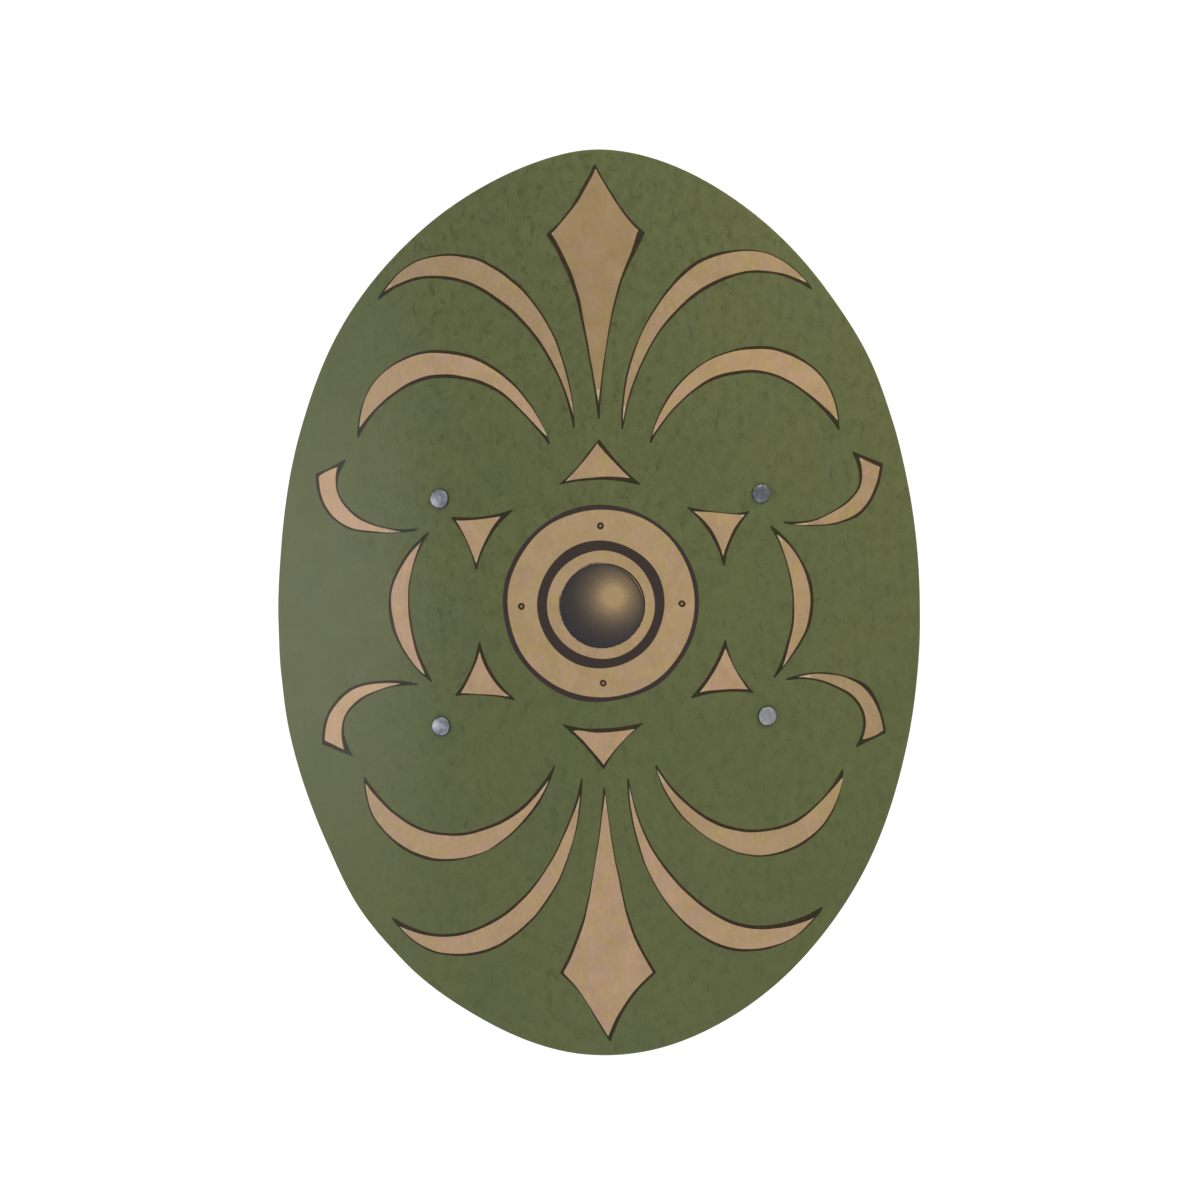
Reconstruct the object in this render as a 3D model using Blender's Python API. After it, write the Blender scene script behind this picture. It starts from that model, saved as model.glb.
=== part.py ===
# Oval Roman shield, made as a toy: a thin plywood board bent about its long axis, with an
# arm strap and a hand strap riveted to its hollow back. The print on its front is flat
# colour, so the boss, lances and rays drawn there have no relief.
#
# All lengths are in metres. The shield lies on its two long side edges with its front up:
# +Y points to its top, +X to the right of someone who looks at its front, and +Z up.
# The board is drawn flat, as (across, along, height), with height 0 on its front face,
# and every piece is then bent with it.

import math

import bmesh
import bpy
from mathutils import Vector

# Board
BOARD_LENGTH = 0.450
BOARD_WIDTH = 0.3394  # measured round the bend
BOARD_THICKNESS = 0.004
BEND_RADIUS = 0.360  # of the front face
BOARD_EDGE_ROUNDING = 0.0006
TOP_POINT = 0.0067  # how far the top stands out of a true ellipse
TOP_POINT_LEAN = 0.0043  # the top's point lies this far right of the long axis
BOTTOM_POINT = 0.0028
POINT_SPREAD = 0.056  # half width of both points
OUTLINE_STEPS = 160
BEND_STEP = 0.008  # longest flat stretch across the bend

# Straps: each runs along the board, from a lower rivet to an upper one
HAND_STRAP_ACROSS = -0.0795
HAND_STRAP_UPPER = 0.0530
HAND_STRAP_LOWER = -0.0604
ARM_STRAP_ACROSS = 0.0828
ARM_STRAP_UPPER = 0.0530
ARM_STRAP_LOWER = -0.0581
STRAP_SPLAY = 0.0011  # the lower rivets stand this much further out than the upper ones
STRAP_WIDTH = 0.025
STRAP_THICKNESS = 0.002
STRAP_BOW = 0.021  # room for a hand between the middle of a strap and the board
STRAP_SEAT = 0.010  # flat length from a rivet to where the strap leaves the board
STRAP_EDGE_ROUNDING = 0.0004
STRAP_END_STEPS = 16
STRAP_BOW_STEP = 0.005  # longest flat stretch along the bow
STRAP_BEND_STEP = 0.007  # and across it

# Rivets
CAP_DIAMETER = 0.0095
CAP_HEIGHT = 0.0016
TAIL_DIAMETER = 0.0085
TAIL_HEIGHT = 0.0013
SHANK_DIAMETER = 0.0040
RIVET_RIM = 0.0004  # height of the cap's and the tail's upright rim
RIVET_SIDES = 24
DOME_STEPS = 5

# Fits
TOUCH_GAP = 0.0003  # between two faces that rest on each other
HOLE_CLEARANCE = 0.0003  # round a shank, on each side
SNAP = 0.00005  # a fold this close to a vertex runs through it

# Depths below the board's front face
STRAP_MIDDLE_DEPTH = BOARD_THICKNESS + TOUCH_GAP + 0.5 * STRAP_THICKNESS
TAIL_DEPTH = BOARD_THICKNESS + STRAP_THICKNESS + 2.0 * TOUCH_GAP


def bend(across, along, height):
    """The place of a point of the flat drawing once the board is bent."""
    angle = across / BEND_RADIUS
    radius = BEND_RADIUS + height
    return Vector((radius * math.sin(angle), along, radius * math.cos(angle) - BEND_RADIUS))


def finish(name, colour, roughness, metallic):
    """A material with one colour, given as linear red, green and blue."""
    material = bpy.data.materials.new(name)
    material.use_nodes = True
    shader = material.node_tree.nodes["Principled BSDF"]
    shader.inputs["Base Color"].default_value = (*colour, 1.0)
    shader.inputs["Roughness"].default_value = roughness
    shader.inputs["Metallic"].default_value = metallic
    material.diffuse_color = (*colour, 1.0)
    return material


def add_object(name, mesh, parent, material=None):
    """Put a mesh in the scene under the shield's empty."""
    piece = bpy.data.objects.new(name, mesh)
    bpy.context.collection.objects.link(piece)
    piece.parent = parent
    if material:
        mesh.materials.append(material)
    return piece


def plate(name, outline, thickness, rounding, folds, shape):
    """Cut a flat plate to an outline, round both its rims, and shape it.

    Its front is at height 0 and its back below it. Folds are the lines, as (point, normal),
    along which the flat plate has to give way. Each vertex then goes where
    shape(x, y, height) puts it.
    """
    mesh = bpy.data.meshes.new(name)
    bm = bmesh.new()
    bm.faces.new([bm.verts.new((x, y, 0.0)) for x, y in outline])
    sheet = bmesh.ops.extrude_face_region(bm, geom=bm.faces[:])
    moved = [item for item in sheet["geom"] if isinstance(item, bmesh.types.BMVert)]
    bmesh.ops.translate(bm, verts=moved, vec=(0.0, 0.0, -thickness))
    bmesh.ops.recalc_face_normals(bm, faces=bm.faces[:])
    rims = [edge for edge in bm.edges if edge.verts[0].co.z == edge.verts[1].co.z]
    bmesh.ops.bevel(bm, geom=rims, offset=rounding, offset_type="OFFSET", segments=2,
                    profile=0.5, affect="EDGES", clamp_overlap=True)
    for point, normal in folds:
        bmesh.ops.bisect_plane(bm, geom=[*bm.verts, *bm.edges, *bm.faces], dist=SNAP,
                               plane_co=point, plane_no=normal)
    for vertex in bm.verts:
        vertex.co = shape(*vertex.co)
    bmesh.ops.recalc_face_normals(bm, faces=bm.faces[:])
    bm.to_mesh(mesh)
    bm.free()
    mesh.shade_smooth()
    mesh.set_sharp_from_angle(angle=math.radians(35.0))
    return mesh


def fold_lines(half_length, step, axis):
    """Folds square to an axis, evenly spaced from the middle of a plate to both its ends."""
    count = math.ceil(half_length / step)
    places = [half_length * number / count for number in range(1 - count, count)]
    return [(axis * place, axis) for place in places]


def outline_point(turn):
    """A point of the board's outline: an ellipse that is drawn out to a soft point at each end."""
    across = 0.5 * BOARD_WIDTH * math.cos(turn)
    rise = math.sin(turn)
    if rise > 0.0:
        point, lean = TOP_POINT, TOP_POINT_LEAN
    else:
        point, lean = BOTTOM_POINT, 0.0
    swell = math.exp(-(((across - lean) / POINT_SPREAD) ** 2))
    return across, rise * (0.5 * BOARD_LENGTH - point + point * swell)


def board_mesh():
    """The board, cut flat to its outline, with its rims eased, and bent."""
    turns = [math.tau * step / OUTLINE_STEPS for step in range(OUTLINE_STEPS)]
    outline = [outline_point(turn) for turn in turns]
    folds = fold_lines(0.5 * BOARD_WIDTH, BEND_STEP, Vector((1.0, 0.0, 0.0)))
    rounding = min(BOARD_EDGE_ROUNDING, 0.4 * BOARD_THICKNESS)
    return plate("board", outline, BOARD_THICKNESS, rounding, folds, bend)


def strap_outline(length):
    """A strap's outline, along its length in x: its ends are round about the rivets' centres."""
    radius = 0.5 * STRAP_WIDTH
    outline = []
    for end in (1.0, -1.0):
        for step in range(STRAP_END_STEPS + 1):
            turn = math.pi * (step / STRAP_END_STEPS - 0.5)
            outline.append((end * (0.5 * length + radius * math.cos(turn)),
                            end * radius * math.sin(turn)))
    return outline


def strap_mesh(name, lower, upper):
    """A flat strap on the board's back between two rivets, bowed away from it in the middle."""
    middle = 0.5 * (lower + upper)
    length = (upper - lower).length
    along = (upper - lower).normalized()
    bowed = 0.5 * length - STRAP_SEAT

    def shape(place, edge, height):
        depth = slope = 0.0
        if abs(place) < bowed:
            wave = math.pi * place / bowed
            depth = 0.5 * STRAP_BOW * (1.0 + math.cos(wave))
            slope = -0.5 * STRAP_BOW * math.sin(wave) * math.pi / bowed
        upright = 1.0 / math.hypot(1.0, slope)
        above_middle = (height + 0.5 * STRAP_THICKNESS) * upright
        run = place + above_middle * slope
        flat = middle + along * run + Vector((along.y, -along.x)) * edge
        return bend(flat.x, flat.y, above_middle - depth - STRAP_MIDDLE_DEPTH)

    folds = fold_lines(0.5 * STRAP_WIDTH, STRAP_BEND_STEP, Vector((0.0, 1.0, 0.0)))
    folds += fold_lines(bowed, STRAP_BOW_STEP, Vector((1.0, 0.0, 0.0)))
    folds += [(Vector((end * bowed, 0.0, 0.0)), Vector((1.0, 0.0, 0.0))) for end in (-1.0, 1.0)]
    rounding = min(STRAP_EDGE_ROUNDING, 0.4 * STRAP_THICKNESS)
    return plate(name, strap_outline(length), STRAP_THICKNESS, rounding, folds, shape)


def dome(radius, rim, height):
    """Half a rivet head's profile, from its centre out to the foot of its rim."""
    points = []
    for step in range(DOME_STEPS + 1):
        turn = 0.5 * math.pi * step / DOME_STEPS
        points.append((radius * math.sin(turn), rim + (height - rim) * math.cos(turn)))
    points.append((radius, 0.0))
    return points


def rivet_mesh(name):
    """A steel rivet: a domed cap in front, a shank, and a domed tail behind the strap."""
    shank = 0.5 * SHANK_DIAMETER
    cap = dome(0.5 * CAP_DIAMETER, min(RIVET_RIM, 0.5 * CAP_HEIGHT), CAP_HEIGHT)
    tail = dome(0.5 * TAIL_DIAMETER, min(RIVET_RIM, 0.5 * TAIL_HEIGHT), TAIL_HEIGHT)
    points = [(radius, 0.0, TOUCH_GAP + height) for radius, height in cap]
    points.append((shank, 0.0, TOUCH_GAP))
    points.append((shank, 0.0, -TAIL_DEPTH))
    points.extend((radius, 0.0, -TAIL_DEPTH - height) for radius, height in reversed(tail))
    mesh = bpy.data.meshes.new(name)
    edges = [(index, index + 1) for index in range(len(points) - 1)]
    mesh.from_pydata(points, edges, [])
    return mesh


def place_on_board(piece, spot):
    """Stand a piece on the board's front at a spot of the flat drawing, square to its face."""
    piece.location = bend(spot.x, spot.y, 0.0)
    piece.rotation_euler = (0.0, spot.x / BEND_RADIUS, 0.0)


def rivet(name, mesh, spot, parent):
    """Turn the rivet's profile once round its axis, at its spot."""
    piece = add_object(name, mesh, parent)
    place_on_board(piece, spot)
    turn = piece.modifiers.new("turn", "SCREW")
    turn.axis = "Z"
    turn.steps = turn.render_steps = RIVET_SIDES
    turn.use_merge_vertices = True
    turn.merge_threshold = 0.00001
    turn.use_smooth_shade = True
    return piece


def hole_cutter(name, spot, parent):
    """A round bar for one rivet's hole through the board and the strap."""
    mesh = bpy.data.meshes.new(name)
    bm = bmesh.new()
    radius = 0.5 * SHANK_DIAMETER + HOLE_CLEARANCE
    bmesh.ops.create_cone(bm, cap_ends=True, segments=RIVET_SIDES, radius1=radius,
                          radius2=radius, depth=2.0 * TAIL_DEPTH)
    bmesh.ops.translate(bm, verts=bm.verts[:], vec=(0.0, 0.0, -0.5 * TAIL_DEPTH))
    bm.to_mesh(mesh)
    bm.free()
    cutter = add_object(name, mesh, parent)
    place_on_board(cutter, spot)
    cutter.hide_render = True
    cutter.display_type = "WIRE"
    return cutter


def drill(piece, cutter):
    """Cut one rivet hole."""
    hole = piece.modifiers.new(cutter.name, "BOOLEAN")
    hole.operation = "DIFFERENCE"
    hole.solver = "EXACT"
    hole.object = cutter


def lowest_point(pieces):
    """The height of the lowest vertex of the finished pieces."""
    bpy.context.view_layer.update()
    depsgraph = bpy.context.evaluated_depsgraph_get()
    heights = []
    for piece in pieces:
        finished = piece.evaluated_get(depsgraph)
        mesh = finished.to_mesh()
        heights.extend((finished.matrix_world @ vertex.co).z for vertex in mesh.vertices)
        finished.to_mesh_clear()
    return min(heights)


for old in list(bpy.data.objects):
    bpy.data.objects.remove(old, do_unlink=True)

printed_wood = finish("printed_plywood", (0.120, 0.134, 0.062), 0.45, 0.0)
steel = finish("nickel_plated_steel", (0.55, 0.56, 0.58), 0.3, 1.0)
leather = finish("brown_leather", (0.13, 0.055, 0.025), 0.6, 0.0)

shield = bpy.data.objects.new("shield", None)
bpy.context.collection.objects.link(shield)

board = add_object("board", board_mesh(), shield, printed_wood)
pieces = [board]

# Each strap is laid between its two rivets, and the same spots drill the board.
STRAPS = {
    "hand_strap": ("left", HAND_STRAP_ACROSS, HAND_STRAP_LOWER, HAND_STRAP_UPPER),
    "arm_strap": ("right", ARM_STRAP_ACROSS, ARM_STRAP_LOWER, ARM_STRAP_UPPER),
}
head_mesh = rivet_mesh("rivet")
head_mesh.materials.append(steel)
for strap_name, (side, across, lower_along, upper_along) in STRAPS.items():
    outward = math.copysign(0.5 * STRAP_SPLAY, across)
    spots = {
        "lower": Vector((across + outward, lower_along)),
        "upper": Vector((across - outward, upper_along)),
    }
    band_mesh = strap_mesh(strap_name, spots["lower"], spots["upper"])
    band = add_object(strap_name, band_mesh, shield, leather)
    pieces.append(band)
    for end, spot in spots.items():
        pieces.append(rivet(f"rivet_{end}_{side}", head_mesh, spot, shield))
        bit = hole_cutter(f"hole_{end}_{side}", spot, shield)
        drill(board, bit)
        drill(band, bit)

shield.location.z = -lowest_point(pieces)
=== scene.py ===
from functools import partial
from itertools import accumulate
from math import atan2, ceil, copysign, cos, degrees, dist, exp, hypot, pi, radians, sin, tau

import bpy
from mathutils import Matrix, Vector, geometry, noise


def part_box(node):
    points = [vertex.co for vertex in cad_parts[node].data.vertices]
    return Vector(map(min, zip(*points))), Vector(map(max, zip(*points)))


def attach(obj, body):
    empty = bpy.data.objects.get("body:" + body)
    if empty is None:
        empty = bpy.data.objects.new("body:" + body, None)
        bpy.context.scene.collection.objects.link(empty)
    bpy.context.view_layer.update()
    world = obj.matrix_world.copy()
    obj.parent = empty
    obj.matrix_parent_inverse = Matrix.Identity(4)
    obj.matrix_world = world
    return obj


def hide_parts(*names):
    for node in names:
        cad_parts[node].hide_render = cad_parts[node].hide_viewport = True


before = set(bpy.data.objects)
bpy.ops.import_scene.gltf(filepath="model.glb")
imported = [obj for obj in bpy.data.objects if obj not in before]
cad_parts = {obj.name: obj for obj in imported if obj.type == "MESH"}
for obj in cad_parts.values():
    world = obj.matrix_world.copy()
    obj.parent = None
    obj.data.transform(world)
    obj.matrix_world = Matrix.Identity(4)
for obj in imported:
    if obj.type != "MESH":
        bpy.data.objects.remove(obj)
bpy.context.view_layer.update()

# The board. The real one is poplar plywood, three plies glued in a curved press, sawn to
# its oval and eased along both rims. Everything here is drawn flat, in millimetres, as
# (across, along, height above the front face), and is bent when its mesh is made.
MM = 0.001
BOARD_LENGTH = 450.0
BOARD_WIDTH = 339.4  # measured round the bend
BOARD_THICKNESS = 4.0
BEND_RADIUS = 360.0  # of the front face
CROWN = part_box("board")[1][2] / MM  # height of the front face along the board's middle
RIM_ROUNDING = 0.6
ROUNDING_STEPS = 4
TOP_POINT = 6.7  # how far the top stands out of a true ellipse
TOP_POINT_LEAN = 4.3  # the top's point lies this far right of the long axis
BOTTOM_POINT = 2.8
POINT_SPREAD = 56.0
# Where the saw strayed off the drawn oval: degrees round the board, and how far outwards
SAW_STRAYS = ((0, -0.1), (20, 0.0), (30, 0.5), (40, 1.2), (52, 0.0), (75, 0.6), (88, 0.0),
              (98, -0.9), (115, -0.6), (135, 0.6), (150, -0.2), (170, -0.9), (183, -0.1),
              (191, 0.6), (200, 1.3), (220, 0.2), (230, 1.5), (240, 0.4), (253, -1.0), (268, -0.2),
              (280, 0.3), (300, 0.5), (318, 1.3), (335, 0.7), (350, 0.3), (360, -0.1))
OUTLINE_STEPS = 400
BOARD_GRID = (5.0, 9.0)  # spacing of the inner points, across and along
BACK_GRID = (8.0, 15.0)
GRID_MARGIN = 0.4  # how much of a spacing stays free inside the outline
HOLE_RADIUS = 2.3
HOLE_STEPS = 28
NUDGE = 0.01  # for measuring how a bent surface slopes
CLOSE = 0.00001  # two points of a drawing this close are one


def bend(across, along, height):
    """The place, in metres, of a point of the flat drawing once the board is bent."""
    angle = across / BEND_RADIUS
    radius = BEND_RADIUS + height
    return MM * Vector((radius * sin(angle), along, radius * cos(angle) - BEND_RADIUS + CROWN))


def outline_point(turn):
    """A point of the board's outline: an ellipse drawn out to a soft point at each end."""
    across = 0.5 * BOARD_WIDTH * cos(turn)
    rise = sin(turn)
    point, lean = (TOP_POINT, TOP_POINT_LEAN) if rise > 0.0 else (BOTTOM_POINT, 0.0)
    swell = exp(-(((across - lean) / POINT_SPREAD) ** 2))
    drawn = Vector((across, rise * (0.5 * BOARD_LENGTH - point + point * swell)))
    around = degrees(atan2(drawn.y, drawn.x)) % 360.0
    for (start, near), (stop, far) in zip(SAW_STRAYS, SAW_STRAYS[1:]):
        if start <= around < stop:
            share = (around - start) / (stop - start)
            stray = near + (far - near) * share * share * (3.0 - 2.0 * share)
    return drawn + stray * drawn.normalized()


def circle(centre, radius, steps):
    """A round loop, counter-clockwise."""
    turns = [tau * step / steps for step in range(steps)]
    return [Vector(centre) + radius * Vector((cos(turn), sin(turn))) for turn in turns]


def loop_normals(loop):
    """The flat outward direction at each point of a counter-clockwise loop."""
    runs = [loop[(index + 1) % len(loop)] - loop[index - 1] for index in range(len(loop))]
    return [Vector((run.y, -run.x)).normalized() for run in runs]


def surface_normal(shape, x, y, height, flat_normal):
    """How a direction of the flat drawing that is square to a face stands once shaped."""
    here = shape(x, y, height)
    by_x = shape(x + NUDGE, y, height) - here
    by_y = shape(x, y + NUDGE, height) - here
    by_height = shape(x, y, height + NUDGE) - here
    turned = (flat_normal.x * by_y.cross(by_height) + flat_normal.y * by_height.cross(by_x)
              + flat_normal.z * by_x.cross(by_y))
    return turned.normalized()


def inside(point, loop):
    """Whether a point lies inside a loop."""
    found = False
    for near, far in zip(loop, loop[1:] + loop[:1]):
        if (near.y > point.y) != (far.y > point.y):
            crossing = near.x + (point.y - near.y) * (far.x - near.x) / (far.y - near.y)
            if crossing > point.x:
                found = not found
    return found


def grid_points(loop, grid):
    """Evenly spread points inside a loop, in staggered rows."""
    low = Vector((min(point.x for point in loop), min(point.y for point in loop)))
    high = Vector((max(point.x for point in loop), max(point.y for point in loop)))
    columns = ceil((high.x - low.x) / grid[0])
    rows = ceil((high.y - low.y) / grid[1])
    margins = [Vector((x * GRID_MARGIN * grid[0], y * GRID_MARGIN * grid[1]))
               for x, y in ((-1, 0), (1, 0), (0, -1), (0, 1))]
    places = [Vector((low.x + (column + 0.5 * (row % 2)) * grid[0], low.y + row * grid[1]))
              for row in range(1, rows) for column in range(1, columns)]
    return [place for place in places if all(inside(place + margin, loop) for margin in margins)]


def triangles(loops, points):
    """Triangles that fill the first loop. Each comes with the last loop that covers it."""
    drawn = []
    numbers = []
    for loop in loops:
        numbers.append(list(range(len(drawn), len(drawn) + len(loop))))
        drawn.extend(loop)
    made = geometry.delaunay_2d_cdt(drawn + points, [], numbers, 1, CLOSE)
    places, faces, sources, covers = made[0], made[2], made[3], made[5]
    found = {source: place for place, many in enumerate(sources) for source in many}
    return places, [(face, max(cover)) for face, cover in zip(faces, covers)], found


def add_object(name, data):
    """Put a mesh, a lamp or a camera in the scene."""
    piece = bpy.data.objects.new(name, data)
    bpy.context.collection.objects.link(piece)
    return piece


def plate(name, outline, holes, prints, covered, materials, thickness, rounding, grids,
          shape, maps):
    """A closed plate cut to an outline and drilled, with both rims rounded, then shaped.

    The prints are (loop, material number) and lie over the front in their order. The
    front's own finish covers that many steps of its rim. The materials are those of the
    front, the rim and the back, and then of the prints. The maps place the front and the
    back on the surface map.
    """
    normals = loop_normals(outline)
    inner = [point - rounding * normal for point, normal in zip(outline, normals)]
    vertices = []
    faces = []
    corners = []

    def vertex(point, height):
        vertices.append(shape(point.x, point.y, height))
        return len(vertices) - 1

    def face(around, number):
        """Each corner is (vertex, flat point, height, flat normal, drawing, map)."""
        faces.append(([corner[0] for corner in around], number))
        for index, point, height, normal, drawing, place in around:
            turned = surface_normal(shape, point.x, point.y, height, normal)
            corners.append((turned, drawing, place))

    def flat_side(number, printed, grid, height, facing, layout):
        """The front or the back. It gives the vertices along its outline and each hole."""
        loops = [inner] + [loop for loop, paint in printed] + holes
        paints = [number] + [paint for loop, paint in printed] + [None] * len(holes)
        places, parts, found = triangles(loops, grid_points(inner, grid))
        made = [vertex(place, height) for place in places]
        for part, cover in parts:
            if paints[cover] is not None:
                ordered = part if facing > 0.0 else part[::-1]
                face([(made[index], places[index], height, Vector((0.0, 0.0, facing)),
                       places[index], layout(places[index])) for index in ordered],
                     paints[cover])
        starts = [0, *accumulate(len(loop) for loop in loops)]
        return [[made[found[start + index]] for index in range(len(loop))]
                for start, loop, paint in zip(starts, loops, paints)
                if loop is inner or paint is None]

    front = flat_side(0, prints, grids[0], 0.0, 1.0, maps[0])
    back = flat_side(2, [], grids[1], -thickness, -1.0, maps[1])

    # The rim runs from the front over one rounding, down the cut, and over the other
    rows = []
    for middle, first in ((-rounding, 0.0), (rounding - thickness, 0.5 * pi)):
        for step in range(ROUNDING_STEPS + 1):
            tilt = first + 0.5 * pi * step / ROUNDING_STEPS
            rows.append((rounding * sin(tilt), middle + rounding * cos(tilt), tilt))
    reach = [0.0, *accumulate(dist(near[:2], far[:2]) for near, far in zip(rows, rows[1:]))]
    sides = zip(inner, inner[1:] + inner[:1])
    runs = [0.0, *accumulate((far - near).length for near, far in sides)]
    lines = [[vertex(point + offset * normal, height) for point, normal in zip(inner, normals)]
             for offset, height, tilt in rows[1:-1]]
    lines = [front[0]] + lines + [back[0]]
    for row in range(len(rows) - 1):
        for index in range(len(inner)):
            after = (index + 1) % len(inner)
            around = []
            for line, place, run in ((row, index, index), (row + 1, index, index),
                                     (row + 1, after, index + 1), (row, after, index + 1)):
                offset, height, tilt = rows[line]
                outward = normals[place]
                flat_normal = Vector((outward.x * sin(tilt), outward.y * sin(tilt), cos(tilt)))
                unrolled = inner[place] + reach[line] * outward
                drawing = unrolled if row < covered else Vector((runs[run], -height))
                around.append((lines[line][place], inner[place] + offset * outward, height,
                               flat_normal, drawing, maps[0](unrolled)))
            face(around, 0 if row < covered else 1)

    # Each hole's wall
    for hole, above, below in zip(holes, front[1:], back[1:]):
        outward = loop_normals(hole)
        for index in range(len(hole)):
            after = (index + 1) % len(hole)
            face([(line[place], hole[place], height, -outward[place].to_3d(),
                   Vector((index, -height)), maps[0](hole[place]))
                  for line, place, height in ((above, index, 0.0), (above, after, 0.0),
                                              (below, after, -thickness),
                                              (below, index, -thickness))], 1)

    mesh = bpy.data.meshes.new(name)
    mesh.from_pydata(vertices, [], [around for around, number in faces])
    mesh.polygons.foreach_set("material_index", [number for around, number in faces])
    for layer, column in (("drawing", 1), ("OFBake", 2)):
        places = [value for corner in corners for value in corner[column]]
        mesh.uv_layers.new(name=layer).data.foreach_set("uv", places)
    mesh.shade_smooth()
    mesh.normals_split_custom_set([corner[0] for corner in corners])
    for finish in materials:
        mesh.materials.append(finish)
    return add_object(name, mesh)


def colour(code):
    """An sRGB hex colour as linear red, green, blue and alpha."""
    channels = [int(code[place:place + 2], 16) / 255.0 for place in (1, 3, 5)]
    linear = [value / 12.92 if value <= 0.04045 else ((value + 0.055) / 1.055) ** 2.4
              for value in channels]
    return (*linear, 1.0)


def connect(made, inputs):
    """Set a node's inputs, each to a value, a hex colour, a socket, or a node's first output."""
    for name, value in inputs.items():
        socket = (made.inputs[name] if isinstance(name, int) else
                  next(one for one in made.inputs if one.enabled and one.name == name))
        if isinstance(value, str):
            value = colour(value)
        if isinstance(value, bpy.types.Node):
            value = next(one for one in value.outputs if one.enabled)
        if isinstance(value, bpy.types.NodeSocket):
            made.id_data.links.new(value, socket)
        else:
            socket.default_value = value


def node(tree, kind, inputs=None, **settings):
    """Add a shader node with its settings and its inputs."""
    made = tree.nodes.new("ShaderNode" + kind)
    for name, value in settings.items():
        setattr(made, name, value)
    connect(made, inputs or {})
    return made


def material(name):
    """A new material, what adds a node to it, and its Principled shader."""
    made = bpy.data.materials.new(name)
    made.use_nodes = True
    return made, partial(node, made.node_tree), made.node_tree.nodes["Principled BSDF"]


# The print, made on the flat veneer before the board is pressed: green, then each ornament
# in ink with its gold over that, which leaves a drawn line. The boss with its shaded dome
# and its four small rivets is only drawn there, so it is flat as the rest is.
LINE_STEP = 1.2
FEWEST_STEPS = 3  # of a line from mark to mark
PEN_WOBBLE = 0.12  # how unsteadily a line was drawn
PEN_WAVE = 9.0
PEN_NIB = 0.35  # no line is finer
PEN_TIP = 0.9  # how wide two lines are where they meet
PEN_FLICK = 0.1  # how far the pen ran on past a corner, as a share of the corner's ink
POINT_WIDTH = 2.0  # the gold is thin and pale in its points, as far as they are this narrow
POINT_STEPS = 6  # and as far as this many points of its outline

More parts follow.
